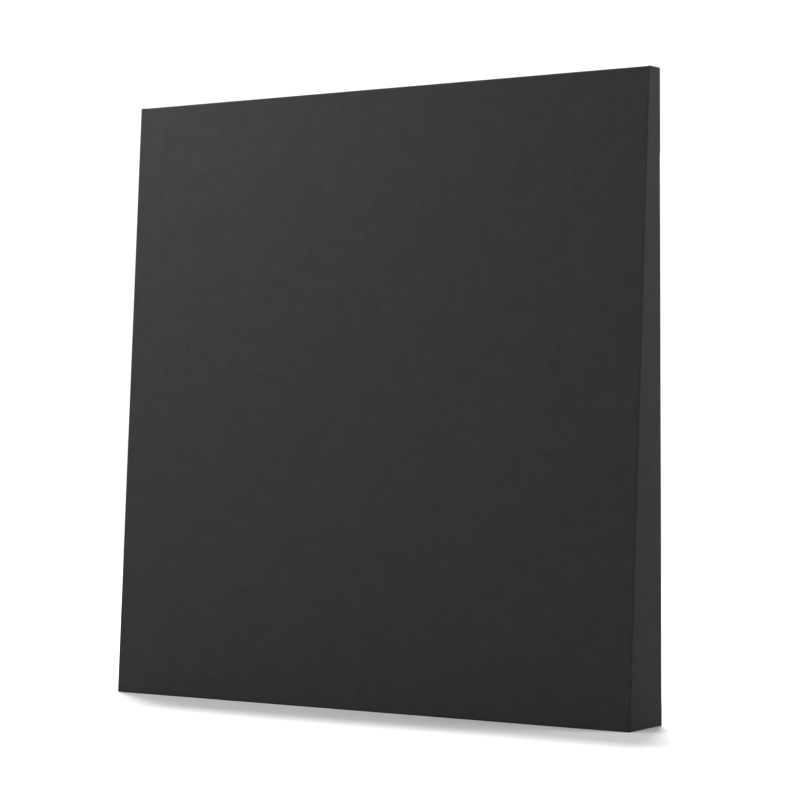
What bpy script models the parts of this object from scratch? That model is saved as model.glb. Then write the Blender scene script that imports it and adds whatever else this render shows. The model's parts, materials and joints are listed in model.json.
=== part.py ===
"""Wedge-shaped, fabric-covered acoustic panel for a wall.

A square timber frame with tapered side stiles holds a tapered mineral wool core. A fleece lies over the front, a
stretched fabric cover wraps the whole and returns onto the back, and a dust cover closes the back. The panel hangs on
a two-part aluminium cleat: one half is screwed into a pocket in the top rail, and the other half goes on the wall.

Metres in Blender, millimetres in the constants. +Z is up, the front faces -Y, the wall is at +Y, and the origin is the
bottom centre of the panel's bounding box. Helper coordinates (b, z) are millimetres: b is measured from the wrapped
back plane, negative towards the room, and z from the foot of the panel.
"""

import math

import bmesh
import bpy
from mathutils import Matrix

MM = 0.001

# Overall size
WIDTH = 600.0
HEIGHT = 600.0
DEPTH_FOOT = 60.0  # body depth at the foot, without the wall pads
DEPTH_HEAD = 20.0  # body depth at the head
STANDOFF = 3.0  # wall plane to wrapped back

# Layers
GAP = 0.3  # between touching pieces
FABRIC = 1.0
FLEECE = 0.6
RETURN_SIDE = 18.0  # width of the fabric turned onto the back at the sides and the foot
RETURN_HEAD = 76.0  # and at the head, where it is notched round the cleat pocket
FABRIC_EDGE = 1.3  # radius of the wrapped edges

# Frame
STOCK = 18.0  # thickness of the stiles and the bottom rail
TOP_RAIL = 78.7  # height of the top rail, which carries the cleat
GUSSET_LEG = 60.0
GUSSET_THICK = 9.0
POCKET_HALF = 160.0
POCKET_TOP = 585.0  # the pocket runs out through the rail's lower edge
POCKET_FLOOR = -7.3  # b of the pocket's floor

# Cleat, two identical-gauge Z profiles with lips at 45 degrees
CLEAT_T = 2.0
CLEAT_HALF = 150.0
CLEAT_MID_B = -2.0  # middle of the space between the two flanges
CLEAT_MID_Z = 558.0
CLEAT_SPACE = 6.0  # between the flanges' facing sides
LIP_PLAY = 0.8  # lip tip to the other half's flange
LIFT_TRAVEL = 30.0

# Small parts
PAD_R = 12.0
PAD_T = 2.0
DUST_T = 0.5
DUST_BOX = (-292.0, 8.0, 292.0, 538.5)

BACK_Y = (DEPTH_FOOT - STANDOFF) / 2  # world y of the wrapped back plane
SLOPE = math.atan((DEPTH_FOOT - DEPTH_HEAD) / HEIGHT)
INNER = FABRIC + GAP  # frame's inset from the outside at the sides, head, foot and back
FRONT_INSET = FABRIC + GAP + FLEECE + GAP  # frame's inset from the front, square to it


def front_b(z, inset=0.0):
    """b of the sloping front plane at height z, moved back by inset square to the plane."""
    depth = DEPTH_HEAD + (DEPTH_FOOT - DEPTH_HEAD) * (HEIGHT - z) / HEIGHT
    return -depth + inset / math.cos(SLOPE)


# ---------------------------------------------------------------- scene and materials

for old in list(bpy.data.objects):
    bpy.data.objects.remove(old, do_unlink=True)

parts = bpy.data.collections.new("acoustic_panel")
cutters = bpy.data.collections.new("cutters")
bpy.context.scene.collection.children.link(parts)
bpy.context.scene.collection.children.link(cutters)
panel_root = bpy.data.objects.new("panel_frame_of_reference", None)
parts.objects.link(panel_root)


def material(name, colour, roughness, metallic=0.0):
    made = bpy.data.materials.new(name)
    made.use_nodes = True
    shader = made.node_tree.nodes["Principled BSDF"]
    shader.inputs["Base Color"].default_value = (*colour, 1.0)
    shader.inputs["Roughness"].default_value = roughness
    shader.inputs["Metallic"].default_value = metallic
    return made


CHARCOAL = material("charcoal_fabric", (0.040, 0.043, 0.041), 0.9)
FLEECE_MAT = material("black_fleece", (0.015, 0.015, 0.016), 0.95)
WOOL = material("mineral_wool", (0.30, 0.27, 0.16), 0.95)
TIMBER = material("pine", (0.55, 0.38, 0.21), 0.7)
PLY = material("birch_plywood", (0.62, 0.47, 0.30), 0.7)
STEEL = material("zinc_steel", (0.62, 0.62, 0.60), 0.35, 1.0)
ALUMINIUM = material("mill_aluminium", (0.80, 0.81, 0.82), 0.35, 1.0)
FELT = material("grey_felt", (0.20, 0.20, 0.20), 0.95)
NONWOVEN = material("black_nonwoven", (0.012, 0.012, 0.013), 0.9)


# ---------------------------------------------------------------- modelling helpers


def place(obj, collection, mat=None):
    collection.objects.link(obj)
    if mat is not None:
        obj.data.materials.append(mat)
    if collection is cutters:
        obj.hide_render = True
        obj.display_type = "WIRE"
    else:
        obj.parent = panel_root
    return obj


def as_mesh(curve):
    """The curve object's shape as a welded mesh object in the same place, and the curve is removed."""
    bpy.context.view_layer.update()
    graph = bpy.context.evaluated_depsgraph_get()
    mesh = bpy.data.meshes.new_from_object(curve.evaluated_get(graph))
    shape = bmesh.new()
    shape.from_mesh(mesh)
    bmesh.ops.remove_doubles(shape, verts=shape.verts, dist=1e-6)
    bmesh.ops.dissolve_limit(
        shape, angle_limit=0.001, verts=shape.verts, edges=shape.edges
    )
    bmesh.ops.recalc_face_normals(shape, faces=shape.faces)
    shape.to_mesh(mesh)
    shape.free()
    name, matrix = curve.name, curve.matrix_world.copy()
    bpy.data.objects.remove(curve, do_unlink=True)
    made = bpy.data.objects.new(name, mesh)
    made.matrix_world = matrix
    return made


def outline(name, points, thickness, matrix):
    """A flat outline extruded to this thickness, centred on its plane, as a mesh object."""
    data = bpy.data.curves.new(name, "CURVE")
    data.dimensions = "2D"
    data.fill_mode = "BOTH"
    data.extrude = thickness * MM / 2
    spline = data.splines.new("POLY")
    spline.points.add(len(points) - 1)
    for point, (u, v) in zip(spline.points, points):
        point.co = (u * MM, v * MM, 0.0, 1.0)
    spline.use_cyclic_u = True
    curve = bpy.data.objects.new(name, data)
    bpy.context.scene.collection.objects.link(curve)
    curve.matrix_world = matrix
    return as_mesh(curve)


def profile(name, points, x0, x1, collection=parts, mat=None):
    """A side profile of (b, z) points, extruded across the panel from x0 to x1."""
    turn = Matrix(((0, 0, 1, 0), (1, 0, 0, 0), (0, 1, 0, 0), (0, 0, 0, 1)))
    shift = Matrix.Translation(((x0 + x1) / 2 * MM, BACK_Y * MM, 0))
    return place(outline(name, points, x1 - x0, shift @ turn), collection, mat)


def plate(name, points, b0, b1, collection=parts, mat=None):
    """A front-view outline of (x, z) points, extruded through the panel from b0 to b1."""
    turn = Matrix(((1, 0, 0, 0), (0, 0, -1, 0), (0, 1, 0, 0), (0, 0, 0, 1)))
    shift = Matrix.Translation((0, (BACK_Y + (b0 + b1) / 2) * MM, 0))
    return place(outline(name, points, b1 - b0, shift @ turn), collection, mat)


def turned(name, points, steps, matrix, collection=parts, mat=None):
    """A turned shape: a profile of (radius, height) points from the top of the axis to its foot, with a Screw modifier."""
    mesh = bpy.data.meshes.new(name)
    edges = [(i, i + 1) for i in range(len(points) - 1)]
    mesh.from_pydata([(r * MM, 0.0, h * MM) for r, h in points], edges, [])
    made = bpy.data.objects.new(name, mesh)
    made.matrix_world = matrix
    place(made, collection, mat)
    turn = made.modifiers.new("turn", "SCREW")
    turn.axis = "Z"
    turn.angle = math.tau
    turn.steps = turn.render_steps = steps
    turn.use_merge_vertices = True
    turn.merge_threshold = 1e-6
    turn.use_smooth_shade = True
    return made


def bevel(obj, width, segments=1, angle=30.0):
    mod = obj.modifiers.new("edges", "BEVEL")
    mod.width = width * MM
    mod.segments = segments
    mod.limit_method = "ANGLE"
    mod.angle_limit = math.radians(angle)
    mod.use_clamp_overlap = True


def cut(obj, cutter, label):
    mod = obj.modifiers.new(label, "BOOLEAN")
    mod.operation = "DIFFERENCE"
    mod.solver = "EXACT"
    mod.object = cutter


# ---------------------------------------------------------------- fabric cover

fabric_cover = profile(
    "fabric_cover",
    [(front_b(0), 0), (0, 0), (0, HEIGHT), (front_b(HEIGHT), HEIGHT)],
    -WIDTH / 2,
    WIDTH / 2,
    mat=CHARCOAL,
)
bevel(fabric_cover, FABRIC_EDGE, 3)
inside = profile(
    "cut_cover_inside",
    [
        (front_b(FABRIC, FABRIC), FABRIC),
        (-FABRIC, FABRIC),
        (-FABRIC, HEIGHT - FABRIC),
        (front_b(HEIGHT - FABRIC, FABRIC), HEIGHT - FABRIC),
    ],
    -WIDTH / 2 + FABRIC,
    WIDTH / 2 - FABRIC,
    cutters,
)
# The opening that the turned-in fabric leaves on the back, notched at the head round the cleat pocket
NOTCH_HALF, NOTCH_TOP = POCKET_HALF + 8.0, POCKET_TOP + 3.0
edge_x, edge_z = WIDTH / 2 - RETURN_SIDE, HEIGHT - RETURN_HEAD
back_opening = plate(
    "cut_cover_back",
    [
        (-edge_x, RETURN_SIDE),
        (edge_x, RETURN_SIDE),
        (edge_x, edge_z),
        (NOTCH_HALF, edge_z),
        (NOTCH_HALF, NOTCH_TOP),
        (-NOTCH_HALF, NOTCH_TOP),
        (-NOTCH_HALF, edge_z),
        (-edge_x, edge_z),
    ],
    -4.0,
    3.0,
    cutters,
)
cut(fabric_cover, inside, "inside")
cut(fabric_cover, back_opening, "back_opening")

# ---------------------------------------------------------------- fleece over the front

EDGE = INNER + GAP
fleece = profile(
    "front_fleece",
    [
        (front_b(EDGE, FABRIC + GAP), EDGE),
        (front_b(EDGE, FABRIC + GAP + FLEECE), EDGE),
        (front_b(HEIGHT - EDGE, FABRIC + GAP + FLEECE), HEIGHT - EDGE),
        (front_b(HEIGHT - EDGE, FABRIC + GAP), HEIGHT - EDGE),
    ],
    -WIDTH / 2 + EDGE,
    WIDTH / 2 - EDGE,
    mat=FLEECE_MAT,
)

# ---------------------------------------------------------------- timber frame

FRAME_OUT = WIDTH / 2 - INNER
FRAME_IN = FRAME_OUT - STOCK
FRAME_FOOT, FRAME_HEAD = INNER, HEIGHT - INNER
RAIL_END = FRAME_IN - GAP
RAIL_TOP_Z = FRAME_HEAD - TOP_RAIL
BOTTOM_TOP_Z = FRAME_FOOT + STOCK


def wedge(z0, z1):
    """The frame's side profile between two heights."""
    return [
        (front_b(z0, FRONT_INSET), z0),
        (-INNER, z0),
        (-INNER, z1),
        (front_b(z1, FRONT_INSET), z1),
    ]


left_stile = profile(
    "left_stile", wedge(FRAME_FOOT, FRAME_HEAD), -FRAME_OUT, -FRAME_IN, mat=TIMBER
)
right_stile = profile(
    "right_stile", wedge(FRAME_FOOT, FRAME_HEAD), FRAME_IN, FRAME_OUT, mat=TIMBER
)
bottom_rail = profile(
    "bottom_rail", wedge(FRAME_FOOT, BOTTOM_TOP_Z), -RAIL_END, RAIL_END, mat=TIMBER
)
top_rail = profile(
    "top_rail", wedge(RAIL_TOP_Z, FRAME_HEAD), -RAIL_END, RAIL_END, mat=TIMBER
)
for piece in (left_stile, right_stile, bottom_rail, top_rail):
    bevel(piece, 0.6)

POCKET_R, quarter = 5.0, [math.pi / 2 * i / 4 for i in range(5)]
pocket = plate(
    "cut_pocket",
    [
        (
            sx * (POCKET_HALF - POCKET_R) + POCKET_R * math.cos(a + start),
            POCKET_TOP - POCKET_R + POCKET_R * math.sin(a + start),
        )
        for sx, start in ((1, 0.0), (-1, math.pi / 2))
        for a in quarter
    ]
    + [(sx * POCKET_HALF, RAIL_TOP_Z - 6.0) for sx in (-1, 1)],
    POCKET_FLOOR,
    4.0,
    cutters,
)
cut(top_rail, pocket, "cleat_pocket")

# Corner gussets, glued in flush with the frame's back
CORNERS = {
    "bottom_left": (-1, BOTTOM_TOP_Z, 1),
    "bottom_right": (1, BOTTOM_TOP_Z, 1),
    "top_left": (-1, RAIL_TOP_Z, -1),
    "top_right": (1, RAIL_TOP_Z, -1),
}


def triangle(side, z, up, grow=0.0):
    """A gusset's outline in its corner of the frame, grown on every side by grow."""
    x, z = RAIL_END + grow, z + up * (GAP - grow)
    leg = GUSSET_LEG + grow * (2 + math.sqrt(2))
    points = [(side * x, z), (side * (x - leg), z), (side * x, z + up * leg)]
    return points if side * up < 0 else points[::-1]


core = profile(
    "absorber_core",
    wedge(BOTTOM_TOP_Z + GAP, RAIL_TOP_Z - GAP),
    -RAIL_END,
    RAIL_END,
    mat=WOOL,
)
for corner, (side, z, up) in CORNERS.items():
    gusset = plate(
        "gusset_" + corner,
        triangle(side, z, up),
        -INNER - GUSSET_THICK,
        -INNER,
        mat=PLY,
    )
    bevel(gusset, 0.5)
    notch = plate(
        "cut_gusset_" + corner,
        triangle(side, z, up, 2.0),
        -INNER - GUSSET_THICK - 0.5,
        4.0,
        cutters,
    )
    cut(core, notch, "notch_" + corner)


# ---------------------------------------------------------------- screws

TO_RIGHT = Matrix.Rotation(math.radians(90), 4, "Y")  # a screw's head faces +X
TO_LEFT = Matrix.Rotation(math.radians(-90), 4, "Y")
TO_BACK = Matrix.Rotation(math.radians(-90), 4, "X")  # a screw's head faces +Y


def at(x, b, z, turn):
    return Matrix.Translation((x * MM, (BACK_Y + b) * MM, z * MM)) @ turn


def screw_points(shank, head, length, grow=0.0, over=0.0):
    """A countersunk screw from the centre of its head to its point, or the hole for it when grown."""
    r, k = shank + grow, head + grow
    rim = 0.2 if not grow else over
    foot = -length - (1.5 if grow else 0)
    top = over if grow else 0.0
    slope_end = -(head - shank) - 0.2 - (grow * 0.4 if grow else 0)
    point = [(r, foot + 1.6 * shank), (0, foot)] if not grow else [(r, foot), (0, foot)]
    return [(0, top), (k, top), (k, top - rim), (r, slope_end), *point]


def cross(name, matrix, half, arm, depth):
    """The cutter for a cross recess in a screw head, with arms that narrow towards their tips."""
    a, w, t = half, arm / 2, arm * 0.38
    points = [
        (-t, -a), (t, -a), (w, -w), (a, -t), (a, t), (w, w),
        (t, a), (-t, a), (-w, w), (-a, t), (-a, -t), (-w, -w),
    ]  # fmt: skip
    deep = Matrix.Translation((0, 0, (0.5 - depth / 2) * MM))
    return place(outline(name, points, depth + 1.0, matrix @ deep), cutters)


FRAME_SCREW = dict(shank=2.5, head=4.6, length=50.0)
SUNK = 0.4  # frame screw heads lie below the stile's face
positions = {
    "foot_front": (-44.0, FRAME_FOOT + STOCK / 2),
    "foot_back": (-15.0, FRAME_FOOT + STOCK / 2),
    "head_lower": (-11.7, 536.0),
    "head_upper": (-10.0, 585.0),
}
for side, stile, turn in (
    (-1, left_stile, TO_LEFT),
    (1, right_stile, TO_RIGHT),
):
    word = "left" if side < 0 else "right"
    for where, (b, z) in positions.items():
        matrix = at(side * (FRAME_OUT - SUNK), b, z, turn)
        screw = turned(
            f"frame_screw_{word}_{where}",
            screw_points(**FRAME_SCREW),
            16,
            matrix,
            mat=STEEL,
        )
        recess = cross(f"cut_recess_{word}_{where}", matrix, 2.4, 1.1, 2.0)
        cut(screw, recess, "recess")
        hole = turned(
            f"cut_hole_{word}_{where}",
            screw_points(**FRAME_SCREW, grow=GAP, over=2.0),
            16,
            matrix,
            cutters,
        )
        cut(stile, hole, "hole_" + where)
        cut(bottom_rail if "foot" in where else top_rail, hole, f"{word}_{where}")

# ---------------------------------------------------------------- dust cover and wall pads

x0, z0, x1, z1 = DUST_BOX
dust_cover = plate(
    "dust_cover",
    [(x0, z0), (x1, z0), (x1, z1), (x0, z1)],
    0.2,
    0.2 + DUST_T,
    mat=NONWOVEN,
)
PAD_INSET = 16.5  # from a gusset's two straight edges to the middle of the pad on it
for corner, (side, z, up) in CORNERS.items():
    turned(
        "wall_pad_" + corner,
        [(0, PAD_T), (PAD_R - 0.4, PAD_T), (PAD_R, PAD_T - 0.4), (PAD_R, 0), (0, 0)],
        32,
        at(
            side * (RAIL_END - PAD_INSET),
            STANDOFF - PAD_T,
            z + up * (GAP + PAD_INSET),
            TO_BACK,
        ),
        mat=FELT,
    )

# ---------------------------------------------------------------- hanging cleat

half_space, lip = CLEAT_SPACE / 2, CLEAT_SPACE / 2 - LIP_PLAY
near, far = GAP / 2 * math.sqrt(2), (GAP / 2 + CLEAT_T) * math.sqrt(2)


def from_mid(b, z):
    return (CLEAT_MID_B + b, CLEAT_MID_Z + z)


# Panel half: flange against the pocket's floor, lip down and towards the wall
panel_cleat = profile(
    "panel_cleat",
    [
        from_mid(-half_space - CLEAT_T, 26.0),
        from_mid(-half_space - CLEAT_T, near + half_space + CLEAT_T),
        from_mid(lip, near - lip),
        from_mid(lip, far - lip),
        from_mid(-half_space, far + half_space),
        from_mid(-half_space, 26.0),
    ],
    -CLEAT_HALF,
    CLEAT_HALF,
    mat=ALUMINIUM,
)
# Wall half: flange on the wall, lip up and towards the room
wall_cleat = profile(
    "wall_cleat",
    [
        from_mid(half_space, -24.0),
        from_mid(half_space + CLEAT_T, -24.0),
        from_mid(half_space + CLEAT_T, -near - half_space - CLEAT_T),
        from_mid(-lip, lip - near),
        from_mid(-lip, lip - far),
        from_mid(half_space, -far - half_space),
    ],
    -CLEAT_HALF,
    CLEAT_HALF,
    mat=ALUMINIUM,
)
for piece in (panel_cleat, wall_cleat):
    bevel(piece, 0.25)

CLEAT_SCREW = dict(shank=1.75, head=3.3, length=12.0)
for number, x in enumerate((-130.0, -45.0, 45.0, 130.0), 1):
    matrix = at(x, CLEAT_MID_B - half_space - 0.15, 575.0, TO_BACK)
    screw = turned(
        f"cleat_screw_{number}", screw_points(**CLEAT_SCREW), 20, matrix, mat=STEEL
    )
    recess = cross(f"cut_cleat_recess_{number}", matrix, 1.9, 0.8, 1.3)
    cut(screw, recess, "recess")
    hole = turned(
        f"cut_cleat_hole_{number}",
        screw_points(**CLEAT_SCREW, grow=GAP, over=1.0),
        20,
        matrix,
        cutters,
    )
    cut(panel_cleat, hole, f"screw_{number}")
    cut(top_rail, hole, f"cleat_{number}")


def slot(name, x, z, length, width):
    """The cutter for a wall screw's hole or horizontal slot through the wall half."""
    run, r, steps = (length - width) / 2, width / 2, 10
    ends = [
        (x + side * (run + r * math.cos(a)), z + side * r * math.sin(a))
        for side in (1, -1)
        for a in [math.pi * (i / steps - 0.5) for i in range(steps + 1)]
    ]
    if run < 0.01:
        ends = ends[:-1]
        ends.pop(steps)
    return plate(name, ends, -1.0, 5.0, cutters)


SLOT_Z = 546.0
for label, x, length, width in (
    ("left", -100.0, 15.0, 5.5),
    ("centre", 0.0, 5.0, 5.0),
    ("right", 100.0, 15.0, 5.5),
):
    cut(wall_cleat, slot("cut_wall_" + label, x, SLOT_Z, length, width), "hole_" + label)
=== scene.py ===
"""Looks for the fabric-wrapped acoustic panel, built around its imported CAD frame."""

import json
import math
import random

import bpy
import numpy as np
from mathutils import Matrix, Vector, noise

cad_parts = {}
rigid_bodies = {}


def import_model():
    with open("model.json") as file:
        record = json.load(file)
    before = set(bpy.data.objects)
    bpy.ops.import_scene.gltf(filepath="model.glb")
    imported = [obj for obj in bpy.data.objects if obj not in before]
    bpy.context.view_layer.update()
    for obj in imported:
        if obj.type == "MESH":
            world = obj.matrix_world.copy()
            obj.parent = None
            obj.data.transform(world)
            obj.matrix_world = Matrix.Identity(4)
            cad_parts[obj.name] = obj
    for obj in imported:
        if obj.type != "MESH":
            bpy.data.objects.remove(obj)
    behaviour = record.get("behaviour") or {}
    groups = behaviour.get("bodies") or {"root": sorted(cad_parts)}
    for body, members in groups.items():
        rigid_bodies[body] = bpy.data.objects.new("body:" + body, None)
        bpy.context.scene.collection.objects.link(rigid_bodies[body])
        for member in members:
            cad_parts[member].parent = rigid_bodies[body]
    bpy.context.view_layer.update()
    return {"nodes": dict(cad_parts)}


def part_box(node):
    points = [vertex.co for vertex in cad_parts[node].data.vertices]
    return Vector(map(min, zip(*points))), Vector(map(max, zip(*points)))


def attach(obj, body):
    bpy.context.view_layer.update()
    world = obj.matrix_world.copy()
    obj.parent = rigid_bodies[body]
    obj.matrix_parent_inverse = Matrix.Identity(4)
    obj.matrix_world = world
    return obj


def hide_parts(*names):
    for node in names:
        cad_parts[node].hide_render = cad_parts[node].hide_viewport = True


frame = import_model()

NODES = frame["nodes"]
MM = 0.001

# the wrapped wedge, in metres
HALF_W = 0.300
HEIGHT = 0.600
BACK_Y = 0.0285
FOOT, HEAD = 0.060, 0.020
EDGE = 0.0013
CLOTH = 0.0010
LEAN = math.atan((FOOT - HEAD) / HEIGHT)

# the cloth's cut edge on the back, and the notch that clears the cleat's pocket
CUT_X, CUT_LOW, CUT_HIGH = 0.282, 0.018, 0.524
NOTCH_X, NOTCH_TOP = 0.168, 0.588

# the dust cover
DUST_X, DUST_LOW, DUST_HIGH = 0.292, 0.008, 0.5385


# ---------------------------------------------------------------- helpers


def clean_scene():
    for o in list(bpy.context.scene.objects):
        if o.type in {"CAMERA", "LIGHT"}:
            bpy.data.objects.remove(o)


def new_object(name, verts, faces, smooth=True):
    me = bpy.data.meshes.new(name)
    me.from_pydata([tuple(v) for v in verts], [], [tuple(f) for f in faces])
    me.validate()
    me.update()
    if smooth:
        me.polygons.foreach_set("use_smooth", [True] * len(me.polygons))
    o = bpy.data.objects.new(name, me)
    bpy.context.scene.collection.objects.link(o)
    return o


def smoothstep(a, b, x):
    t = min(1.0, max(0.0, (x - a) / (b - a)))
    return t * t * (3 - 2 * t)


def slerp(a, b, t):
    a, b = Vector(a).normalized(), Vector(b).normalized()
    angle = a.angle(b)
    return (a * math.sin((1 - t) * angle) + b * math.sin(t * angle)) / math.sin(angle)


def grid_lines(low, high, bands, middle, fixed=()):
    """Rising values from low to high. bands are (reach, step) pairs counted in from both ends, middle is the step in between, and every value of fixed is one of the lines."""
    found = [low, high]
    for end, sign in ((low, 1), (high, -1)):
        start = 0.0
        for reach, step in bands:
            n = max(1, round((reach - start) / step))
            found += [end + sign * (start + (reach - start) * k / n) for k in range(n + 1)]
            start = reach
    inner = (low + bands[-1][0], high - bands[-1][0])
    n = max(1, round((inner[1] - inner[0]) / middle))
    found += [inner[0] + (inner[1] - inner[0]) * k / n for k in range(n + 1)]
    found = sorted(found)
    kept = []
    for v in found:
        if any(abs(v - f) < 0.0007 for f in fixed):
            continue
        if kept and v - kept[-1] < 0.0004:
            continue
        kept.append(v)
    kept += list(fixed)
    kept = sorted(kept)
    kept[0], kept[-1] = low, high
    return kept


# ---------------------------------------------------------------- node helpers


def material(name):
    m = bpy.data.materials.new(name)
    m.use_nodes = True
    m.node_tree.nodes.clear()
    return m


class Tree:
    """Adds nodes to a material. An input's value is a number, a tuple or another node's output."""

    def __init__(self, mat):
        self.t = mat.node_tree

    def add(self, kind, _inputs=None, **props):
        n = self.t.nodes.new(kind)
        for k, v in props.items():
            setattr(n, k, v)
        for k, v in (_inputs or {}).items():
            s = n.inputs[k]
            if isinstance(v, bpy.types.NodeSocket):
                self.t.links.new(v, s)
            else:
                s.default_value = v
        return n

    def math(self, op, a, b=None, c=None, clamp=False):
        ins = {0: a}
        if b is not None:
            ins[1] = b
        if c is not None:
            ins[2] = c
        return self.add("ShaderNodeMath", ins, operation=op, use_clamp=clamp).outputs[0]

    def vec(self, op, a, b=None):
        ins = {0: a}
        if b is not None:
            ins[1] = b
        return self.add("ShaderNodeVectorMath", ins, operation=op).outputs[0]

    def noise(self, vector, scale, detail=2.0, rough=0.5, kind="FBM", dims="3D", distortion=0.0):
        n = self.add(
            "ShaderNodeTexNoise",
            {"Vector": vector, "Scale": scale, "Detail": detail, "Roughness": rough, "Distortion": distortion},
            noise_dimensions=dims,
        )
        return n.outputs["Fac"]

    def ramp(self, fac, stops, interpolation="LINEAR"):
        n = self.add("ShaderNodeValToRGB", {"Fac": fac})
        n.color_ramp.interpolation = interpolation
        els = n.color_ramp.elements
        while len(els) < len(stops):
            els.new(0.5)
        for e, (pos, col) in zip(els, stops):
            e.position = pos
            e.color = (*col, 1.0) if len(col) == 3 else col
        return n.outputs["Color"]

    def mix(self, fac, a, b, blend="MIX"):
        n = self.add("ShaderNodeMix", data_type="RGBA", blend_type=blend)
        for k, v in ((0, fac), (6, a), (7, b)):
            if isinstance(v, bpy.types.NodeSocket):
                self.t.links.new(v, n.inputs[k])
            else:
                n.inputs[k].default_value = (*v, 1.0) if hasattr(v, "__len__") and len(v) == 3 else v
        return n.outputs[2]

    def fit(self, value, a, b, c, d, clamp=True):
        n = self.add(
            "ShaderNodeMapRange",
            {"Value": value, "From Min": a, "From Max": b, "To Min": c, "To Max": d},
            clamp=clamp,
        )
        return n.outputs[0]

    def bump(self, height, strength, distance, normal=None):
        ins = {"Height": height, "Strength": strength, "Distance": distance}
        if normal is not None:
            ins["Normal"] = normal
        return self.add("ShaderNodeBump", ins).outputs[0]

    def principled(self, out_normal=None, **inputs):
        names = {k.replace("_", " "): v for k, v in inputs.items()}
        if out_normal is not None:
            names["Normal"] = out_normal
        p = self.add("ShaderNodeBsdfPrincipled")
        for k, v in names.items():
            s = p.inputs[k]
            if isinstance(v, bpy.types.NodeSocket):
                self.t.links.new(v, s)
            else:
                s.default_value = (*v, 1.0) if hasattr(v, "__len__") and len(v) == 3 and s.type == "RGBA" else v
        out = self.add("ShaderNodeOutputMaterial", {"Surface": p.outputs[0]})
        return out


def dress(obj, mat):
    obj.data.materials.clear()
    obj.data.materials.append(mat)


# ---------------------------------------------------------------- materials


def weave_height(t, u, v, pitch_u, pitch_v):
    """Height of a plain weave, 0 to 1, at u and v in millimetres: each thread arches over every second one that it crosses."""
    fu = t.math("DIVIDE", u, pitch_u)
    fv = t.math("DIVIDE", v, pitch_v)
    warp = t.math("ABSOLUTE", t.math("SINE", t.math("MULTIPLY", fu, math.pi)))
    weft = t.math("ABSOLUTE", t.math("SINE", t.math("MULTIPLY", fv, math.pi)))
    cell = t.math("ADD", t.math("FLOOR", fu), t.math("FLOOR", fv))
    odd = t.math("MULTIPLY", t.math("FRACT", t.math("MULTIPLY", cell, 0.5)), 2.0)
    over_warp = t.math("MULTIPLY", t.math("POWER", warp, 0.6), t.math("ADD", t.math("MULTIPLY", weft, 0.55), 0.45))
    over_weft = t.math("MULTIPLY", t.math("POWER", weft, 0.6), t.math("ADD", t.math("MULTIPLY", warp, 0.55), 0.45))
    n = t.add("ShaderNodeMix", data_type="FLOAT")
    t.t.links.new(odd, n.inputs[0])
    t.t.links.new(over_warp, n.inputs[2])
    t.t.links.new(over_weft, n.inputs[3])
    return n.outputs[0], odd


def fold_lines(t):
    """1 in the narrow gap beside each corner fold, 0 elsewhere: a 45 degree line over the head and the foot, and the
    upright edge of the side's cloth on the back. The fabric paints shade into its colour along it, and sinks its bump
    there.
    """
    sep = t.add("ShaderNodeSeparateXYZ", {0: object_mm(t)})
    x, y, z = sep.outputs[0], sep.outputs[1], sep.outputs[2]
    side = t.math("SUBTRACT", 1000 * HALF_W, t.math("ABSOLUTE", x))
    plane_y = t.math("ADD", t.math("MULTIPLY", z, (FOOT - HEAD) / HEIGHT), 1000 * (BACK_Y - FOOT))
    depth = t.math("SUBTRACT", y, plane_y)
    off = t.math("ABSOLUTE", t.math("SUBTRACT", t.math("MULTIPLY", depth, 0.97), side))
    ends = t.math("MAXIMUM", t.math("GREATER_THAN", z, 1000 * HEIGHT - 0.9), t.math("LESS_THAN", z, 0.9))
    slanted = t.math("MULTIPLY", t.fit(off, 0.15, 0.75, 1.0, 0.0), t.math("MULTIPLY", ends, t.math("GREATER_THAN", depth, 0.8)))
    upright = t.fit(t.math("ABSOLUTE", t.math("SUBTRACT", side, 19.0)), 0.15, 0.75, 1.0, 0.0)
    beyond = t.math("MAXIMUM", t.math("GREATER_THAN", z, 1000 * CUT_HIGH), t.math("LESS_THAN", z, 1000 * CUT_LOW))
    upright = t.math("MULTIPLY", upright, t.math("MULTIPLY", beyond, t.math("GREATER_THAN", y, 1000 * BACK_Y - 0.9)))
    return t.math("MAXIMUM", slanted, upright)


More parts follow.
